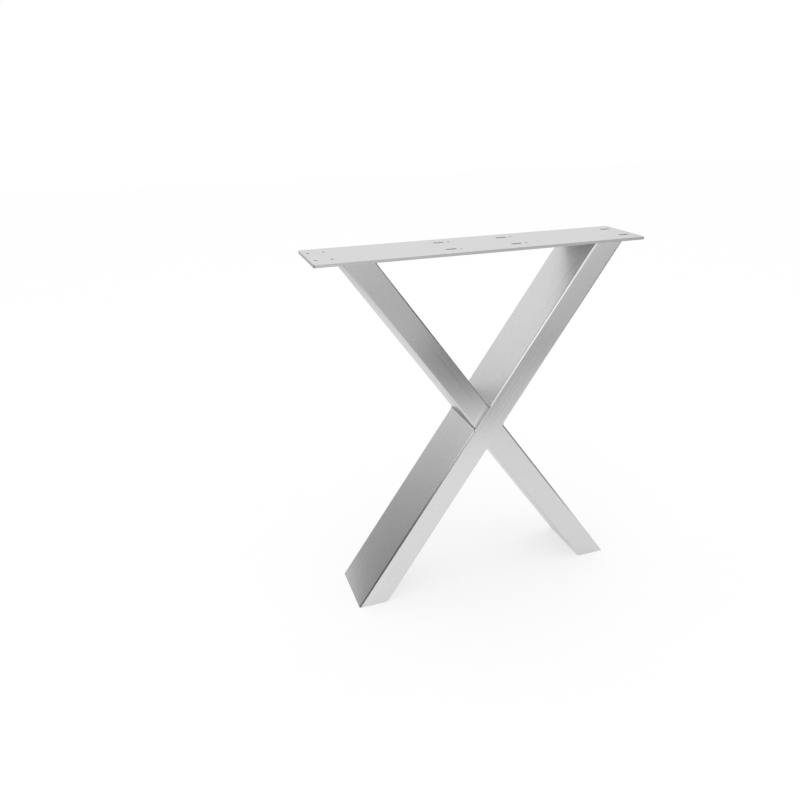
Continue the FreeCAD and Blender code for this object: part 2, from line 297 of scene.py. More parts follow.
@dataclass(frozen=True)
class BrushedSteel:
    """Stainless steel drawn under a belt: long fine parallel lines, so a reflection smears across them.

    The lines of the finest layer are a few hundredths of a millimetre in life and are drawn coarser.
    Edge tint is the tone at a grazing angle, and patch the size in millimetres of a faint cloudiness.
    """

    name: str
    brush: Brush
    colour: str = "#DBDBDB"
    roughness: float = 0.26
    anisotropy: float = 0.88
    edge_tint: float = 0.85
    patch: float = 90.0
    patch_tone: float = 0.015
    patch_detail: float = 2.0
    joint: GroundJoint | None = None
    faces: PlateFaces | None = None
    crown: TubeCrown | None = None
    grains: tuple[Grain, ...] = FINE_LINES

    @staticmethod
    def turn(brush: Brush) -> float:
        """Angle about Y that lays the pattern's X axis along the brush lines.

        Args:
            brush: direction of the lines.

        Returns:
            The angle in radians.
        """
        if brush is Brush.ALONG_PLATE:
            return 0.0
        up = SIZES.up_leg(Lean.RIGHT if brush is Brush.ALONG_LONG_LEG else Lean.LEFT)
        return -math.atan2(up.z, up.x)

    def laid_along(self, tree: Tree, brush: Brush) -> Socket:
        """Place from the crossing, with X along the brush lines.

        Args:
            tree: the material's nodes.
            brush: direction of the lines.

        Returns:
            The place, in metres.
        """
        place = add_node(tree, "ShaderNodeTexCoord").outputs["Object"]
        return add_node(tree, "ShaderNodeMapping", {"vector_type": "TEXTURE"}, {
            "Vector": place,
            "Location": (0.0, 0.0, SIZES.underside / 2 * MM),
            "Rotation": (0.0, self.turn(brush), 0.0),
        }).outputs[0]

    def brushed_over(self, tree: Tree) -> tuple[Socket, Socket]:
        """How far a point of the upper arm lies in the joint's second brushing, and the painted shade
        line.

        The painted shade line is a bell curve of the distance from the long leg's side, on the front face
        only.

        Args:
            tree: the material's nodes.

        Returns:
            Share of the second brushing and strength of the painted shade, both from 0 to 1.
        """
        joint = self.joint
        on_long = add_node(tree, "ShaderNodeSeparateXYZ", None,
                           {0: self.laid_along(tree, Brush.ALONG_LONG_LEG)}).outputs
        off_side = add_node(tree, "ShaderNodeMath", {"operation": "SUBTRACT"},
                            {0: on_long[2], 1: SIZES.tube_width / 2 * MM}).outputs[0]
        near = add_node(tree, "ShaderNodeMapRange", {"interpolation_type": "SMOOTHSTEP"}, {
            0: off_side, 1: joint.zone * MM, 2: (joint.zone - joint.zone_edge) * MM, 3: 0.0, 4: 1.0,
        }).outputs[0]
        above = add_node(tree, "ShaderNodeMath", {"operation": "GREATER_THAN"},
                         {0: on_long[2], 1: 0.0}).outputs[0]
        over = add_node(tree, "ShaderNodeMath", {"operation": "MULTIPLY"},
                        {0: near, 1: above}).outputs[0]
        # Painted shade: a soft dark band along the seam on the front face, a bell curve across the seam.
        widths = add_node(tree, "ShaderNodeMath", {"operation": "DIVIDE"},
                          {0: off_side, 1: joint.line_width * MM}).outputs[0]
        squared = add_node(tree, "ShaderNodeMath", {"operation": "MULTIPLY"},
                           {0: widths, 1: widths}).outputs[0]
        # One over e to the power of the square is the bell.
        bell = add_node(tree, "ShaderNodeMath", {"operation": "POWER"},
                        {0: math.exp(-1.0), 1: squared}).outputs[0]
        low, high = SIZES.seat(-1)
        rising = add_node(tree, "ShaderNodeMapRange", None, {
            0: on_long[0], 1: low * MM, 2: high * MM, 3: 1.0, 4: joint.line_rise,
        }).outputs[0]
        within = add_node(tree, "ShaderNodeMath", {"operation": "COMPARE"}, {
            0: on_long[0], 1: (low + high) / 2 * MM, 2: (high - low) / 2 * MM,
        }).outputs[0]
        front = add_node(tree, "ShaderNodeMath", {"operation": "LESS_THAN"},
                         {0: on_long[1], 1: (SIZES.front + joint.front_depth) * MM}).outputs[0]
        line = bell
        for factor in (rising, within, front):
            line = add_node(tree, "ShaderNodeMath", {"operation": "MULTIPLY"},
                            {0: line, 1: factor}).outputs[0]
        return over, line

    def off_the_belt(self, tree: Tree, tone: Socket, rough: Socket) -> tuple[Socket, Socket, Socket]:
        """Change tone and roughness on a plate's cut edges and underside.

        They are told apart by the height of the normal. The edges have no belt lines, so the smear
        across the lines ends there.

        Args:
            tree: the material's nodes.
            tone: tone of the brushed face.
            rough: roughness of the brushed face.

        Returns:
            Tone, roughness and smear for every face.
        """
        faces = self.faces
        coordinates = add_node(tree, "ShaderNodeTexCoord").outputs
        up = add_node(tree, "ShaderNodeSeparateXYZ", None, {0: coordinates["Normal"]}).outputs[2]
        steep = add_node(tree, "ShaderNodeMath", {"operation": "ABSOLUTE"}, {0: up}).outputs[0]
        edge = add_node(tree, "ShaderNodeMapRange", None,
                        {0: steep, 1: faces.flat, 2: faces.upright, 3: 0.0, 4: 1.0}).outputs[0]
        under = add_node(tree, "ShaderNodeMath", {"operation": "LESS_THAN"},
                         {0: up, 1: faces.downward}).outputs[0]
        drag_place = add_node(tree, "ShaderNodeMapping", {"vector_type": "TEXTURE"}, {
            "Vector": coordinates["Object"],
            "Scale": (faces.drag_pitch * MM, faces.drag_pitch * MM, faces.drag_length * MM),
        }).outputs[0]
        drag = add_node(tree, "ShaderNodeTexNoise", None,
                        {"Vector": drag_place, "Scale": 1.0, "Detail": faces.drag_detail})
        cut_tone = add_node(tree, "ShaderNodeMapRange", None, {
            0: drag.outputs[0],
            3: faces.edge_tone - faces.drag_tone,
            4: faces.edge_tone + faces.drag_tone,
        }).outputs[0]
        for share, value, added in ((edge, cut_tone, faces.edge_roughness),
                                    (under, faces.under_tone, faces.under_roughness)):
            factor = add_node(tree, "ShaderNodeMix", {"data_type": "FLOAT"},
                              {0: share, 2: 1.0, 3: value}).outputs[0]
            tone = add_node(tree, "ShaderNodeMath", {"operation": "MULTIPLY"},
                            {0: tone, 1: factor}).outputs[0]
            rough = add_node(tree, "ShaderNodeMath", {"operation": "MULTIPLY_ADD"},
                             {0: share, 1: added, 2: rough}).outputs[0]
        smear = add_node(tree, "ShaderNodeMix", {"data_type": "FLOAT"},
                         {0: edge, 2: self.anisotropy, 3: 0.0}).outputs[0]
        return tone, rough, smear

    def material(self) -> Material:
        """Build the finish.

        The lines are noise in object coordinates, one unit of noise being one line's length and width.
        Each layer is centred on 0, doubled to reach from -1 to 1, and adds to the tone, the roughness
        and the height.

        Returns:
            The material.
        """
        material, tree, output = new_material(self.name)
        laid = self.laid_along(tree, self.brush)
        drawn: Socket | tuple[float, ...] = tuple(
            Matrix.Rotation(self.turn(self.brush), 3, "Y") @ Vector((1.0, 0.0, 0.0)))
        tone: Socket | float = 1.0
        rough: Socket | float = self.roughness
        height: Socket | float = 0.0
        smear: Socket | float = self.anisotropy
        if self.crown:
            height = self.crown.height(tree, laid)
        if self.joint:
            over, line = self.brushed_over(tree)
            again = self.laid_along(tree, Brush.ALONG_LONG_LEG)
            laid = add_node(tree, "ShaderNodeMix", {"data_type": "VECTOR"},
                            {0: over, 4: laid, 5: again}).outputs[1]
            drawn = add_node(tree, "ShaderNodeMix", {"data_type": "VECTOR"},
                             {0: over, 4: drawn, 5: tuple(SIZES.up_leg(Lean.RIGHT))}).outputs[1]
            # Painted shade: the seam line darkens the tone.
            tone = add_node(tree, "ShaderNodeMath", {"operation": "MULTIPLY_ADD"},
                            {0: line, 1: -self.joint.line_tone, 2: tone}).outputs[0]

        def sum_up(total: Socket | float, layer: Socket, weight: float) -> Socket:
            """Running total of weight times layer."""
            return add_node(tree, "ShaderNodeMath", {"operation": "MULTIPLY_ADD"},
                            {0: layer, 1: weight, 2: total}).outputs[0]

        for grain in self.grains:
            lines = add_node(tree, "ShaderNodeMapping", {"vector_type": "TEXTURE"}, {
                "Vector": laid,
                "Scale": (grain.length * MM, grain.width * MM, grain.width * MM),
            })
            noise = add_node(tree, "ShaderNodeTexNoise", None, {
                "Vector": lines.outputs[0], "Scale": 1.0,
                "Detail": grain.detail, "Roughness": grain.fray,
            })
            centred = add_node(tree, "ShaderNodeMath", {"operation": "SUBTRACT"},
                               {0: noise.outputs[0], 1: NOISE_MIDDLE}).outputs[0]
            tone = sum_up(tone, centred, 2.0 * grain.tone)
            rough = sum_up(rough, centred, 2.0 * grain.roughness)
            height = sum_up(height, centred, 2.0 * grain.height)

        patches = add_node(tree, "ShaderNodeTexNoise", None, {
            "Vector": laid, "Scale": 1.0 / (self.patch * MM), "Detail": self.patch_detail,
        })
        patch = add_node(tree, "ShaderNodeMath", {"operation": "SUBTRACT"},
                         {0: patches.outputs[0], 1: NOISE_MIDDLE}).outputs[0]
        tone = sum_up(tone, patch, 2.0 * self.patch_tone)

        if self.faces:
            tone, rough, smear = self.off_the_belt(tree, tone, rough)
        colour = add_node(tree, "ShaderNodeVectorMath", {"operation": "SCALE"},
                          {0: linear(self.colour)[:3], "Scale": tone})
        bump = add_node(tree, "ShaderNodeBump", None,
                        {"Height": height, "Strength": 1.0, "Distance": MM})
        lines_run = add_node(tree, "ShaderNodeVectorTransform",
                             {"vector_type": "VECTOR", "convert_from": "OBJECT", "convert_to": "WORLD"},
                             {0: drawn})
        steel = add_node(tree, "ShaderNodeBsdfPrincipled", None, {
            "Base Color": colour.outputs[0],
            "Metallic": 1.0,
            "Roughness": rough,
            "Anisotropic": smear,
            "Anisotropic Rotation": ACROSS_LINES,
            "Specular Tint": (self.edge_tint, self.edge_tint, self.edge_tint, 1.0),
            "Normal": bump.outputs[0],
            "Tangent": lines_run.outputs[0],
        })
        tree.links.new(steel.outputs[0], output.inputs["Surface"])
        return material


@dataclass(frozen=True)
class MottledSteel:
    """Stainless steel without a direction: one soft noise moves its tone and its roughness.

    Mottle is the size of a spot in millimetres, tones the darkest and the lightest share of the
    colour, and spread how far the roughness strays.
    """

    name: str
    colour: str
    roughness: float
    spread: float
    mottle: float
    detail: float
    tones: tuple[float, float]

    def material(self) -> Material:
        """Build the finish.

        Returns:
            The material.
        """
        material, tree, output = new_material(self.name)
        place = add_node(tree, "ShaderNodeTexCoord").outputs["Object"]
        noise = add_node(tree, "ShaderNodeTexNoise", None, {
            "Vector": place, "Scale": 1.0 / (self.mottle * MM), "Detail": self.detail,
        })
        tone = add_node(tree, "ShaderNodeMapRange", None,
                        {0: noise.outputs[0], 3: self.tones[0], 4: self.tones[1]})
        rough = add_node(tree, "ShaderNodeMapRange", None, {
            0: noise.outputs[0], 3: self.roughness - self.spread, 4: self.roughness + self.spread,
        })
        colour = add_node(tree, "ShaderNodeVectorMath", {"operation": "SCALE"},
                          {0: linear(self.colour)[:3], "Scale": tone.outputs[0]})
        steel = add_node(tree, "ShaderNodeBsdfPrincipled", None, {
            "Base Color": colour.outputs[0], "Metallic": 1.0, "Roughness": rough.outputs[0],
        })
        tree.links.new(steel.outputs[0], output.inputs["Surface"])
        return material


# Cold-rolled sheet as delivered: dull grey, with a fine soft mottle.
COLD_ROLLED = MottledSteel("cold_rolled_sheet", "#C6C7C6", roughness=0.42, spread=0.06, mottle=1.4,
                           detail=4.0, tones=(0.88, 1.12))
# Weld metal, pickled and lightly brushed: satin and greyer than the tube, darkened further as painted
# shade of the seams' corners.
PICKLED_WELD = MottledSteel("pickled_weld_metal_with_painted_shade", "#A3A3A2", roughness=0.38, spread=0.08,
                            mottle=2.0, detail=3.0, tones=(0.82, 1.14))


def show_mesh(name: str, points: np.ndarray, faces: list[list[int]]) -> Piece:
    """Mesh object at the origin, with its points in place.

    Args:
        name: name of the object and of its mesh.
        points: points in metres, the last axis being X, Y and Z.
        faces: point numbers of each face.

    Returns:
        The object.
    """
    mesh = bpy.data.meshes.new(name)
    mesh.from_pydata(points.reshape(-1, 3).tolist(), [], faces)
    mesh.update()
    piece = bpy.data.objects.new(name, mesh)
    bpy.context.scene.collection.objects.link(piece)
    return piece


def grid_quads(rows: int, columns: int, first: int = 0, closed: bool = False) -> np.ndarray:
    """Quads of a grid of points, numbered row by row.

    Args:
        rows: points along the first parameter.
        columns: points along the second.
        first: number of the grid's first point.
        closed: whether the last column joins the first.

    Returns:
        Point numbers, one row of four for each quad.
    """
    index = first + np.arange(rows * columns).reshape(rows, columns)
    if closed:
        index = np.concatenate([index, index[:, :1]], axis=1)
    quads = np.stack([index[:-1, :-1], index[:-1, 1:], index[1:, 1:], index[1:, :-1]], axis=-1)
    return quads.reshape(-1, 4)


def grid_piece(name: str, points: np.ndarray, uvs: np.ndarray | None = None) -> Piece:
    """Object from an open grid of points.

    Args:
        name: name of the object.
        points: rows by columns by 3, in metres.
        uvs: one UV for each point.

    Returns:
        The object.
    """
    quads = grid_quads(*points.shape[:2])
    piece = show_mesh(name, points, quads.tolist())
    if uvs is not None:
        layer = piece.data.uv_layers.new(name="UVMap")
        corners = uvs.reshape(-1, 2)[quads.reshape(-1)]
        layer.data.foreach_set("uv", corners.astype(np.float32).ravel())
    return piece


def volume_sign(points: np.ndarray, quads: np.ndarray) -> float:
    """Sign of the volume inside closed quads: each half quad a, b, c adds a . (b x c).

    Args:
        points: one row of three for each point.
        quads: point numbers, one row of four for each quad.

    Returns:
        1 where the quads face outwards, -1 where they face inwards.
    """
    a, b, c, d = (points[quads[:, i]] for i in range(4))
    inside = np.einsum("ij,ij->", a, np.cross(b, c)) + np.einsum("ij,ij->", a, np.cross(c, d))
    return float(np.sign(inside))


@dataclass
class Sweep:
    """One closed body: a section of points carried along a path, with a flat cap at each end.

    Rings holds stations by section points by 3, in millimetres. The section's last point joins its first.
    """

    rings: np.ndarray
    slot: int = 0

    def faces(self, first: int) -> list[list[int]]:
        """Side quads and two end caps, turned to face outwards.

        Args:
            first: number of the body's first point in the mesh.

        Returns:
            Point numbers of each face.
        """
        stations, around = self.rings.shape[:2]
        points = self.rings.reshape(-1, 3)
        quads = grid_quads(stations, around, closed=True)
        start, end = list(range(around)), list(range((stations - 1) * around, stations * around))
        if volume_sign(points - points.mean(axis=0), quads) < 0:
            quads = quads[:, ::-1]
            end = end[::-1]
        else:
            start = start[::-1]
        caps = [[first + i for i in start], [first + i for i in end]]
        return (quads + first).tolist() + caps


def closed_piece(name: str, sweeps: list[Sweep], materials: list[Material]) -> Piece:
    """One object from closed sweeps, smooth except over sharp edges.

    Args:
        name: name of the piece.
        sweeps: its bodies, each with the number of its material.
        materials: materials in order.

    Returns:
        The object, in metres.
    """
    faces: list[list[int]] = []
    slots: list[int] = []
    points = np.concatenate([sweep.rings.reshape(-1, 3) for sweep in sweeps])
    first = 0
    for sweep in sweeps:
        made = sweep.faces(first)
        faces += made
        slots += [sweep.slot] * len(made)
        first += sweep.rings.shape[0] * sweep.rings.shape[1]
    piece = show_mesh(name, points * MM, faces)
    for material in materials:
        piece.data.materials.append(material)
    piece.data.polygons.foreach_set("material_index", np.array(slots, dtype=np.int32))
    piece.data.polygons.foreach_set("use_smooth", np.ones(len(faces), dtype=bool))
    piece.data.set_sharp_from_angle(angle=SHARP_ANGLE)
    return piece


def on_sky(azimuth: float, elevation: float) -> Vector:
    """Direction from the object.

    Args:
        azimuth: degrees from +Y towards +X.
        elevation: degrees above the level.

    Returns:
        Unit vector.
    """
    turn, rise = math.radians(azimuth), math.radians(elevation)
    return Vector((math.sin(turn) * math.cos(rise), math.cos(turn) * math.cos(rise), math.sin(rise)))


@dataclass(frozen=True)
class Softbox:
    """Rectangular lamp that faces the object's middle, in degrees, metres and watts."""

    name: str
    azimuth: float
    elevation: float
    distance: float
    width: float
    height: float
    power: float

    def hang(self, target: Vector) -> None:
        """Put the lamp up.

        Args:
            target: point that it faces.
        """
        data = bpy.data.lights.new(self.name, "AREA")
        data.shape = "RECTANGLE"
        data.size, data.size_y, data.energy = self.width, self.height, self.power
        lamp = bpy.data.objects.new(self.name, data)
        towards = on_sky(self.azimuth, self.elevation)
        lamp.matrix_world = (Matrix.Translation(target + towards * self.distance)
                             @ towards.to_track_quat("Z", "Y").to_matrix().to_4x4())
        bpy.context.scene.collection.objects.link(lamp)


@dataclass(frozen=True, kw_only=True)
class Card:
    """Grey card beside the set that only reflections see, with soft edges.

    Soft is the share of the card over which it fades at its sides, foot and top.
    """

    name: str
    tone: float
    soft_side: float = 0.2
    soft_foot: float = 0.0
    soft_top: float = 0.3

    def place(self, u: np.ndarray, v: np.ndarray) -> np.ndarray:
        """Points of the card, for shares u from side to side and v from foot to top."""
        raise NotImplementedError

    def surface(self) -> Piece:
        """Card as a grid of its points, with the shares as UV."""
        u, v = np.meshgrid(*(np.linspace(0.0, 1.0, count) for count in CARD_POINTS))
        return grid_piece(self.name, self.place(u, v), np.stack([u, v], axis=-1))

    def build(self) -> None:
        """Make the card and its emission, which is see-through towards its edges."""
        card = self.surface()
        material, tree, output = new_material(f"{self.name}_card")
        uv = add_node(tree, "ShaderNodeUVMap", {"uv_map": "UVMap"}).outputs[0]
        parts = add_node(tree, "ShaderNodeSeparateXYZ", None, {0: uv}).outputs

        def fade(along: Socket, start: float, end: float) -> Socket:
            """Smooth step from 0 at start to 1 at end."""
            return add_node(tree, "ShaderNodeMapRange", {"interpolation_type": "SMOOTHSTEP"},
                            {0: along, 1: start, 2: end, 3: 0.0, 4: 1.0}).outputs[0]

        edges = [fade(parts[0], 0.0, self.soft_side), fade(parts[0], 1.0, 1.0 - self.soft_side)]
        if self.soft_foot:
            edges.append(fade(parts[1], 0.0, self.soft_foot))
        if self.soft_top:
            edges.append(fade(parts[1], 1.0, 1.0 - self.soft_top))
        cover: Socket | float = 1.0
        for edge in edges:
            cover = add_node(tree, "ShaderNodeMath", {"operation": "MULTIPLY"},
                             {0: cover, 1: edge}).outputs[0]
        grey = add_node(tree, "ShaderNodeEmission", None,
                        {"Color": (self.tone, self.tone, self.tone, 1.0), "Strength": 1.0})
        clear = add_node(tree, "ShaderNodeBsdfTransparent")
        mix = add_node(tree, "ShaderNodeMixShader", None,
                       {0: cover, 1: clear.outputs[0], 2: grey.outputs[0]})
        tree.links.new(mix.outputs[0], output.inputs["Surface"])
        material.cycles.emission_sampling = "NONE"
        dress(card, material)
        card.visible_camera = card.visible_diffuse = card.visible_transmission = False
        card.visible_shadow = card.visible_volume_scatter = False


@dataclass(frozen=True, kw_only=True)
class RingCard(Card):
    """Card bent round the object as a part of a ring or a cylinder.

    Azimuths are in degrees. Foot and top are a radius and a height in metres.
    """

    azimuths: tuple[float, float]
    foot: tuple[float, float]
    top: tuple[float, float]

    def place(self, u: np.ndarray, v: np.ndarray) -> np.ndarray:
        """Radius and height run from foot to top, and each point is turned by its azimuth.

        Args:
            u: share from side to side.
            v: share from foot to top.

        Returns:
            Points in metres.
        """
        first, last = np.radians(self.azimuths)
        turn = first + u * (last - first)
        radius = self.foot[0] + v * (self.top[0] - self.foot[0])
        height = self.foot[1] + v * (self.top[1] - self.foot[1])
        return np.stack([radius * np.sin(turn), radius * np.cos(turn), height], axis=-1)


@dataclass(frozen=True, kw_only=True)
class StripCard(Card):
    """Straight strip that lies on the floor, about the line from start to end, in metres."""

    start: tuple[float, float]
    end: tuple[float, float]
    width: float
    height: float = 0.006

    def place(self, u: np.ndarray, v: np.ndarray) -> np.ndarray:
        """Start plus v times the run, plus a distance beside it along the run turned by 90 degrees.

        Args:
            u: share from side to side.
            v: share from foot to top.

        Returns:
            Points in metres.
        """
        run = np.subtract(self.end, self.start)
        beside = np.array([-run[1], run[0]]) / np.linalg.norm(run) * self.width
        flat = self.start + v[..., None] * run + (u[..., None] - 0.5) * beside
        return np.concatenate([flat, np.full((*u.shape, 1), self.height)], axis=-1)


@dataclass
class Studio:
    """Pale floor, white surround, two soft lamps and grey cards that give the steel something to show."""

    target: Vector = field(default_factory=lambda: Vector((0.0, 0.0, 0.36)))
    floor_half: float = 8.0
    floor_colour: str = "#FDFDFD"
    paper_scale: float = 3.0
    paper_shade: float = 0.995
    white: float = 1.0
    daylight: float = 1.0
    floor_glow: float = 0.6
    lamps: tuple[Softbox, ...] = (
        Softbox("key_softbox", azimuth=-142, elevation=28, distance=2.6, width=2.2, height=0.9, power=4.0),
        Softbox("top_softbox", azimuth=0, elevation=88, distance=2.6, width=2.2, height=1.6, power=3.0),
    )
    cards: tuple[Card, ...] = (
        RingCard(name="back_left_wall", azimuths=(-75, -19), foot=(2.5, -0.05), top=(2.5, 2.2), tone=0.40,
                 soft_top=1.0),
        RingCard(name="left_wall", azimuths=(-170, -50), foot=(2.4, -0.05), top=(2.4, 1.4), tone=0.1,
                 soft_side=0.15),
        RingCard(name="right_wall", azimuths=(37, 150), foot=(2.4, -0.05), top=(2.4, 1.6), tone=0.04),
        RingCard(name="right_low_wall", azimuths=(22, 70), foot=(2.38, -0.05), top=(2.38, 0.4), tone=0.04),
        RingCard(name="front_wall", azimuths=(100, 186), foot=(2.3, -0.05), top=(2.3, 0.62), tone=0.59),
        RingCard(name="left_floor", azimuths=(-160, -19), foot=(0.6, 0.002), top=(2.45, 0.002), tone=0.2,
                 soft_foot=0.35, soft_top=0),
        RingCard(name="right_floor", azimuths=(28, 140), foot=(0.8, 0.002), top=(2.3, 0.002), tone=0.12,
                 soft_foot=0.4, soft_top=0),
        RingCard(name="front_floor", azimuths=(110, 205), foot=(1.1, 0.004), top=(2.3, 0.004), tone=0.6,
                 soft_foot=0.25, soft_top=0),
        StripCard(name="front_dark", start=(0.0955, -0.949), end=(1.032, -1.921), width=0.72, tone=0.0,
                  soft_side=0.37, soft_foot=0.23, soft_top=0.2),
    )

    @staticmethod
    def seen_directly(tree: Tree) -> Socket:
        """1 for a ray from the camera, from metal or through glass, and 0 for soft light.

        Args:
            tree: nodes of the world or of a material.

        Returns:
            The 1 or 0.
        """
        path = add_node(tree, "ShaderNodeLightPath").outputs
        seen = path["Is Camera Ray"]
        for name in ("Is Glossy Ray", "Is Transmission Ray"):
            seen = add_node(tree, "ShaderNodeMath", {"operation": "MAXIMUM"},
                            {0: seen, 1: path[name]}).outputs[0]
        return seen

    def build_world(self) -> None:
        """World that is white to the eye, in metal and through glass, and plain daylight to the rest."""
        world = bpy.data.worlds.new("white_surround")
        bpy.context.scene.world = world
        world.use_nodes = True
        tree = world.node_tree
        tree.nodes.clear()
        seen = self.seen_directly(tree)
        plain = add_node(tree, "ShaderNodeBackground", None,
                         {"Color": WHITE, "Strength": self.daylight})
        white = add_node(tree, "ShaderNodeBackground", None,
                         {"Color": WHITE, "Strength": self.white})
        mix = add_node(tree, "ShaderNodeMixShader", None,
                       {0: seen, 1: plain.outputs[0], 2: white.outputs[0]})
        output = add_node(tree, "ShaderNodeOutputWorld")
        tree.links.new(mix.outputs[0], output.inputs["Surface"])
        world.cycles.sampling_method = "NONE"

    def build_floor(self) -> None:
        """Flat pale floor, with a very slight paper mottle."""
        side = np.linspace(-self.floor_half, self.floor_half, FLOOR_POINTS)
        x, y = np.meshgrid(side, side)
        floor = grid_piece("floor", np.stack([x, y, np.zeros_like(x)], axis=-1))
        material, tree, output = new_material("pale_floor")
        place = add_node(tree, "ShaderNodeTexCoord").outputs["Object"]
        noise = add_node(tree, "ShaderNodeTexNoise", None, {"Vector": place, "Scale": self.paper_scale})
        tone = add_node(tree, "ShaderNodeMapRange", None,
                        {0: noise.outputs[0], 3: self.paper_shade, 4: 1.0})
        colour = add_node(tree, "ShaderNodeVectorMath", {"operation": "SCALE"},
                          {0: linear(self.floor_colour)[:3], "Scale": tone.outputs[0]})
        paper = add_node(tree, "ShaderNodeBsdfDiffuse", None, {"Color": colour.outputs[0]})
        white = add_node(tree, "ShaderNodeEmission", None, {"Color": WHITE, "Strength": 1.0})
        share = add_node(tree, "ShaderNodeMath", {"operation": "MULTIPLY"},
                         {0: self.seen_directly(tree), 1: self.floor_glow}).outputs[0]
        mix = add_node(tree, "ShaderNodeMixShader", None,
                       {0: share, 1: paper.outputs[0], 2: white.outputs[0]})
        tree.links.new(mix.outputs[0], output.inputs["Surface"])
        material.cycles.emission_sampling = "NONE"
        dress(floor, material)

    def build(self) -> None:
        """Build everything around the object."""
        bpy.context.scene.view_settings.view_transform = "Standard"
        self.build_world()
        self.build_floor()
        for lamp in self.lamps:
            lamp.hang(self.target)
        for card in self.cards:
            card.build()


@dataclass(frozen=True)
class PhotographCamera:
    """Camera at the photograph's place, from a fit to the frame's edges.

    Angles are in degrees: yaw from +Y towards +X, pitch down, roll clockwise. Pixels are of the 800 image.
    """

    place: tuple[float, float, float] = (-0.59402, -1.35883, 1.00401)
    yaw: float = 20.314
    pitch: float = 18.591
    roll: float = -0.644
    focal_pixels: float = 764.997
    centre: tuple[float, float] = (434.425, 347.476)
    sensor: float = 36.0
    clip: tuple[float, float] = (0.05, 100.0)

    def build(self) -> None:
        """Make the camera and give it to the scene."""
        data = bpy.data.cameras.new("photograph_camera")
        data.sensor_width = self.sensor
        data.lens = self.focal_pixels * self.sensor / IMAGE_SIDE
        data.shift_x = (IMAGE_SIDE / 2 - self.centre[0]) / IMAGE_SIDE
        data.shift_y = (self.centre[1] - IMAGE_SIDE / 2) / IMAGE_SIDE
        data.clip_start, data.clip_end = self.clip
        forward = on_sky(self.yaw, -self.pitch)
        right = forward.cross(Vector((0.0, 0.0, 1.0))).normalized()
        up = right.cross(forward)
        c, s = math.cos(math.radians(self.roll)), math.sin(math.radians(self.roll))
        turned_right, turned_up = c * right + s * up, c * up - s * right
        camera = bpy.data.objects.new("photograph_camera", data)
        axes = Matrix((turned_right, turned_up, -forward)).transposed().to_4x4()
        camera.matrix_world = Matrix.Translation(self.place) @ axes
        bpy.context.scene.collection.objects.link(camera)
        bpy.context.scene.camera = camera


@dataclass(frozen=True)
class Bead:
    """Laid bead of a fillet weld, in millimetres: its size, its bulge and its ripples.

    Sag bends the ripples, in pitches, and a hand's slow drift, a sum of sines of length, height and
    start, makes them uneven. At both ends the bead runs in from a share of its size.
    """

    size: float = 3.0
    bulge: float = 0.35
    ripple: float = 0.16
    pitch: float = 2.4
    sag: float = 0.55
    step: float = 0.4
    across: int = 9
    end_run: float = 7.0
    end_size: float = 0.12
    drifts: tuple[tuple[float, float, float], ...] = ((11.0, 0.25, 0.0), (4.7, 0.15, 1.3))
    drift_share: float = 0.3

    def run_in(self, travel: np.ndarray) -> np.ndarray:
        """Share of the bead's size along its run: a smooth step over the run-in at each end.

        Args:
            travel: distance along the bead.

        Returns:
            The share at each station.
        """
        inside = np.minimum(travel, travel.max() - travel) / self.end_run
        step = np.clip(inside, 0.0, 1.0)
        return self.end_size + (1.0 - self.end_size) * step * step * (3.0 - 2.0 * step)

    def rise(self, travel: np.ndarray, share: np.ndarray) -> np.ndarray:
        """Height over the flat fillet.

        A half sine across the bead, plus ripples: a cosine of the travel in pitches, each crest bent
        back towards the toes by the square of the distance from the bead's middle.

        Args:
            travel: distance along the bead.
            share: place across the bead, from 0 to 1.

        Returns:
            The height at each point.
        """
        arch = np.sin(np.pi * share)
        crest = travel / self.pitch + self.sag * (2.0 * share - 1.0) ** 2
        drift = sum(high * np.sin(travel / length + start) for length, high, start in self.drifts)
        swell = self.bulge * (1.0 + self.drift_share * drift)
        ripples = self.ripple * np.cos(2.0 * np.pi * (crest + self.drift_share * drift))
        return arch * (swell + ripples)


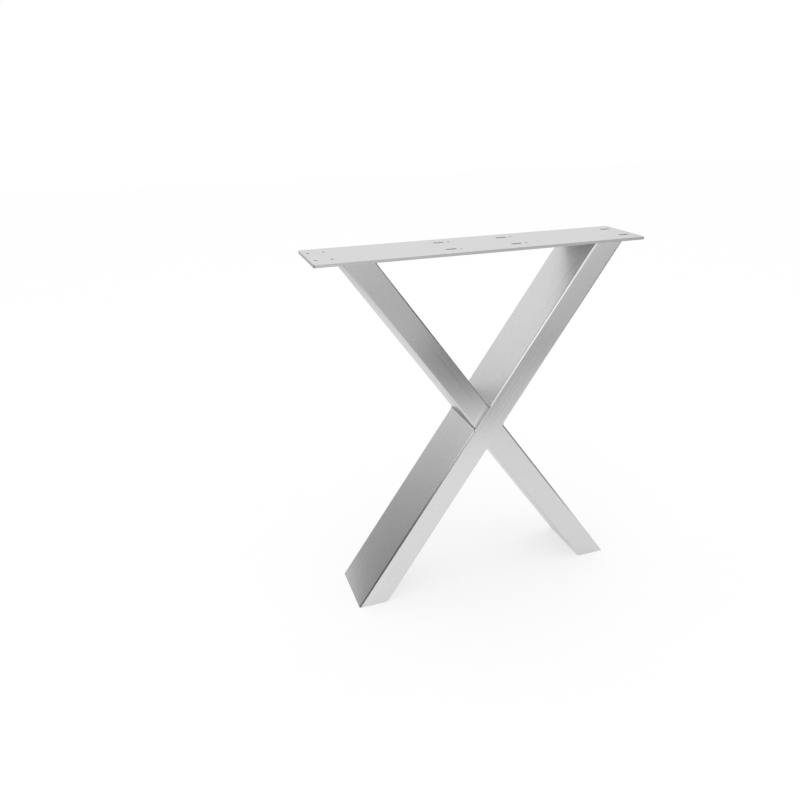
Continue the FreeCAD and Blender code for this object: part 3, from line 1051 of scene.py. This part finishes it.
@dataclass
class PlateSeam:
    """Seam that ties a leg's top to the plate's underside, at its left, back and right."""

    name: str
    node: str
    lean: Lean
    bead: Bead = Bead()

    def outline(self) -> tuple[np.ndarray, np.ndarray]:
        """Level outline of the tube under the plate, about the leg's own axis, and its outward normals.

        The tube's round rectangle, stretched along X by one over the cosine of the lean and open at
        the front.

        Returns:
            Points and unit normals, one row of two for each station.
        """
        stretch = 1.0 / math.cos(SIZES.lean)
        half, back, radius = SIZES.tube_width / 2, SIZES.front + SIZES.tube_depth, SIZES.tube_radius
        turns = np.linspace(math.pi, math.pi / 2, CORNER_POINTS)
        arc = np.stack([np.cos(turns), np.sin(turns)], axis=-1)
        left = np.array([radius - half, back - radius]) + radius * arc
        right = left[::-1] * (-1.0, 1.0)
        runs = np.concatenate([[(-half, SIZES.front)], left, right, [(half, SIZES.front)]])
        gaps = np.linalg.norm(np.diff(runs, axis=0), axis=1)
        counts = np.maximum(1, np.round(gaps / self.bead.step)).astype(int)
        parts = [np.linspace(a, b, n, endpoint=False) for a, b, n in zip(runs[:-1], runs[1:], counts)]
        line = np.concatenate([*parts, runs[-1:]]) * (stretch, 1.0)
        run = np.gradient(line, axis=0)
        normal = np.stack([-run[:, 1], run[:, 0]], axis=-1)
        return line, normal / np.linalg.norm(normal, axis=1, keepdims=True)

    def rings(self) -> np.ndarray:
        """Section stations: the bead's face from the plate to the tube, and the corner behind it.

        At each depth under the plate the tube's outline moves down the leg by depth times the tangent of
        the lean, and the face stands out from it by the bead's size less the depth.

        Returns:
            Stations by points by 3.
        """
        line, normal = self.outline()
        travel = np.concatenate([[0.0], np.cumsum(np.linalg.norm(np.diff(line, axis=0), axis=1))])
        share = np.linspace(0.0, 1.0, self.bead.across)
        full = self.bead.run_in(travel)[:, None]
        rise = self.bead.rise(travel[:, None], share[None, :]) / math.sqrt(2.0)
        depth = (self.bead.size * share + rise) * full
        margin = (self.bead.size * (1.0 - share) + rise) * full
        depth = np.concatenate([depth, np.zeros((len(line), 1))], axis=1)
        margin = np.concatenate([margin, np.zeros((len(line), 1))], axis=1)
        middle = self.lean.value * (SIZES.leg_spread / 2 - depth * math.tan(SIZES.lean))
        x = middle + line[:, :1] + normal[:, :1] * margin
        y = line[:, 1:] + normal[:, 1:] * margin
        return np.stack([x, y, SIZES.underside - depth], axis=-1)

    def build(self, metal: Material) -> Piece:
        """Make the seam."""
        return closed_piece(self.name, [Sweep(self.rings())], [metal])


@dataclass
class CrossingSeam:
    """Seam round the sawn end of a short tube, on one side face of the long leg.

    Two rippled fillets run from front to back in the two inner corners. The grooves over the long leg's
    round corners are filled and ground flush with the front and back faces.
    """

    name: str
    node: str
    side: int
    bead: Bead = Bead(size=2.1, bulge=0.2, ripple=0.12, end_run=4.0, end_size=0.4)
    blend: float = 6.0
    blend_rest: float = 0.04

    @property
    def crossing_angle(self) -> float:
        """Angle between the two legs."""
        return 2.0 * SIZES.lean

    def on_leg(self, across: np.ndarray, depth: np.ndarray, along: np.ndarray) -> np.ndarray:
        """Turn the long leg's own coordinates to the frame's.

        Args:
            across: distance to the right of the leg's centreline.
            depth: place from front to back, as the frame's Y.
            along: distance up the leg from the crossing.

        Returns:
            Points, the last axis being X, Y and Z.
        """
        sine, cosine = math.sin(SIZES.lean), math.cos(SIZES.lean)
        x = across * cosine + along * sine
        z = SIZES.underside / 2 - across * sine + along * cosine
        return np.stack(np.broadcast_arrays(x, depth, z), axis=-1)

    def fillet(self, corner: float, beyond: int) -> np.ndarray:
        """Rings of one rippled fillet in an inner corner.

        The face runs from a point one size along the long leg to a point one size along the short tube,
        and bulges outwards from the corner.

        Args:
            corner: distance of the corner up the long leg.
            beyond: 1 where the bead lies above the corner, -1 where it lies below.

        Returns:
            Stations by points by 3.
        """
        half, size = SIZES.tube_width / 2, self.bead.size
        on_long = np.array([self.side * half, corner + beyond * size])
        sine, cosine = math.sin(self.crossing_angle), math.cos(self.crossing_angle)
        outwards = np.array([self.side * sine, -self.side * cosine])
        root = np.array([self.side * half, corner])
        on_short = root + outwards * size
        share = np.linspace(0.0, 1.0, self.bead.across)
        back = SIZES.front + SIZES.tube_depth
        y = np.arange(SIZES.front, back + self.bead.step / 2, self.bead.step)
        flat = on_long + share[:, None] * (on_short - on_long)
        away = (on_long + on_short) / 2 - root
        away /= np.linalg.norm(away)
        rise = self.bead.rise(y[:, None], share[None, :])
        full = self.bead.run_in(y - y[0])[:, None, None]
        face = root + (flat[None] - root + rise[..., None] * away) * full
        ring = np.concatenate([face, np.broadcast_to(root, (len(y), 1, 2))], axis=1)
        return self.on_leg(ring[..., 0], y[:, None], ring[..., 1])

    def ground_fill(self, front: bool) -> np.ndarray:
        """Rings of the flush fill over the long leg's round corner.

        Each section lies between the tube's arc and the square corner that the arc cuts off. Past the
        short tube the square corner sinks back to the arc in a smooth step.

        Args:
            front: whether the fill is on the front or on the back.

        Returns:
            Stations by points by 3.
        """
        half, radius = SIZES.tube_width / 2, SIZES.tube_radius
        low, high = SIZES.seat(self.side)
        along = np.linspace(low - self.blend, high + self.blend, FILL_STATIONS)[:, None]
        past = np.clip(np.maximum(low - along, along - high) / self.blend, 0.0, 1.0)
        full = 1.0 - (1.0 - self.blend_rest) * past * past * (3.0 - 2.0 * past)
        turns = np.linspace(0.0, math.pi / 2, FILL_POINTS)
        arc = np.stack([np.cos(turns), np.sin(turns)], axis=-1)
        square = arc / arc.max(axis=1, keepdims=True)
        outer = arc + full[..., None] * (square - arc)
        inner = np.broadcast_to(arc, outer.shape)
        ring = half - radius + radius * np.concatenate([inner, outer[:, -2:0:-1]], axis=1)
        inwards = half - ring[..., 1]
        y = SIZES.front + inwards if front else SIZES.front + SIZES.tube_depth - inwards
        return self.on_leg(self.side * ring[..., 0], y, along)

    def build(self, metal: Material, ground: Material) -> Piece:
        """Make the seam.

        Args:
            metal: laid weld metal, with painted corner shade, for the two inner corners.
            ground: ground metal, for the front and the back.

        Returns:
            The seam.
        """
        low, high = SIZES.seat(self.side)
        sweeps = [
            Sweep(self.fillet(high, 1)),
            Sweep(self.fillet(low, -1)),
            Sweep(self.ground_fill(front=True), slot=1),
            Sweep(self.ground_fill(front=False), slot=1),
        ]
        return closed_piece(self.name, sweeps, [metal, ground])


@dataclass
class XLeg:
    """The whole welded frame: CAD nodes in their finishes, and the seams that replace the plain ones."""

    nodes: dict[str, Piece]
    plate: BrushedSteel = BrushedSteel("brushed_plate_steel", Brush.ALONG_PLATE, colour="#E2E2E2",
                                       faces=PlateFaces())
    long_leg: BrushedSteel = BrushedSteel("brushed_long_leg_steel", Brush.ALONG_LONG_LEG,
                                          colour="#DCDCDC", crown=TubeCrown(), grains=DRAWN_LINES)
    # The short leg is the long leg's steel painted a shade darker as painted shade, and its joint paints a
    # shade line over the upper seam.
    short_leg: BrushedSteel = BrushedSteel("brushed_short_leg_steel_with_painted_shade", Brush.ALONG_SHORT_LEG,
                                           colour="#D4D4D4", crown=TubeCrown(), joint=GroundJoint())
    foot: MottledSteel = COLD_ROLLED
    # The weld finish is partly painted shade: its dark colour stands in for shade in the seams' concave
    # corners.
    weld: MottledSteel = PICKLED_WELD
    plate_seams: tuple[PlateSeam, ...] = (
        PlateSeam("long_leg_top_seam", "long_leg_plate_weld", Lean.RIGHT),
        PlateSeam("short_leg_top_seam", "short_leg_plate_weld", Lean.LEFT),
    )
    crossing_seams: tuple[CrossingSeam, ...] = (
        CrossingSeam("upper_crossing_seam", "upper_crossing_weld", side=-1),
        CrossingSeam("lower_crossing_seam", "lower_crossing_weld", side=1),
    )

    def settle(self, piece: Piece, node: str) -> None:
        """Tie a new piece to the frame's body, in place of its CAD node.

        Args:
            piece: the new piece.
            node: name of the CAD node.
        """
        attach(piece, BODY)
        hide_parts(node)
        log.info("%s replaces %s, %d faces", piece.name, node, len(piece.data.polygons))

    def build(self) -> None:
        """Dress the nodes and build the seams."""
        long_steel = self.long_leg.material()
        weld_metal = self.weld.material()
        worn_by = (
            (self.plate.material(), ("top_plate",)),
            (long_steel, ("long_leg_tube",)),
            (self.short_leg.material(), ("upper_short_tube", "lower_short_tube")),
            (self.foot.material(), ("long_leg_foot_plate", "short_leg_foot_plate")),
            (weld_metal, tuple(seam.node for seam in (*self.plate_seams, *self.crossing_seams))),
        )
        for material, names in worn_by:
            for name in names:
                dress(self.nodes[name], material)
                log.info("%s: %s", name, material.name)
        for seam in self.plate_seams:
            self.settle(seam.build(weld_metal), seam.node)
        for crossing in self.crossing_seams:
            self.settle(crossing.build(weld_metal, long_steel), crossing.node)


def main() -> None:
    """Load the frame, dress it, and build the studio and the camera."""
    logging.basicConfig(level=logging.INFO, format="%(name)s %(message)s")
    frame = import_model()
    PhotographCamera().build()
    XLeg(frame["nodes"]).build()
    Studio().build()


if __name__ == "__main__":
    main()
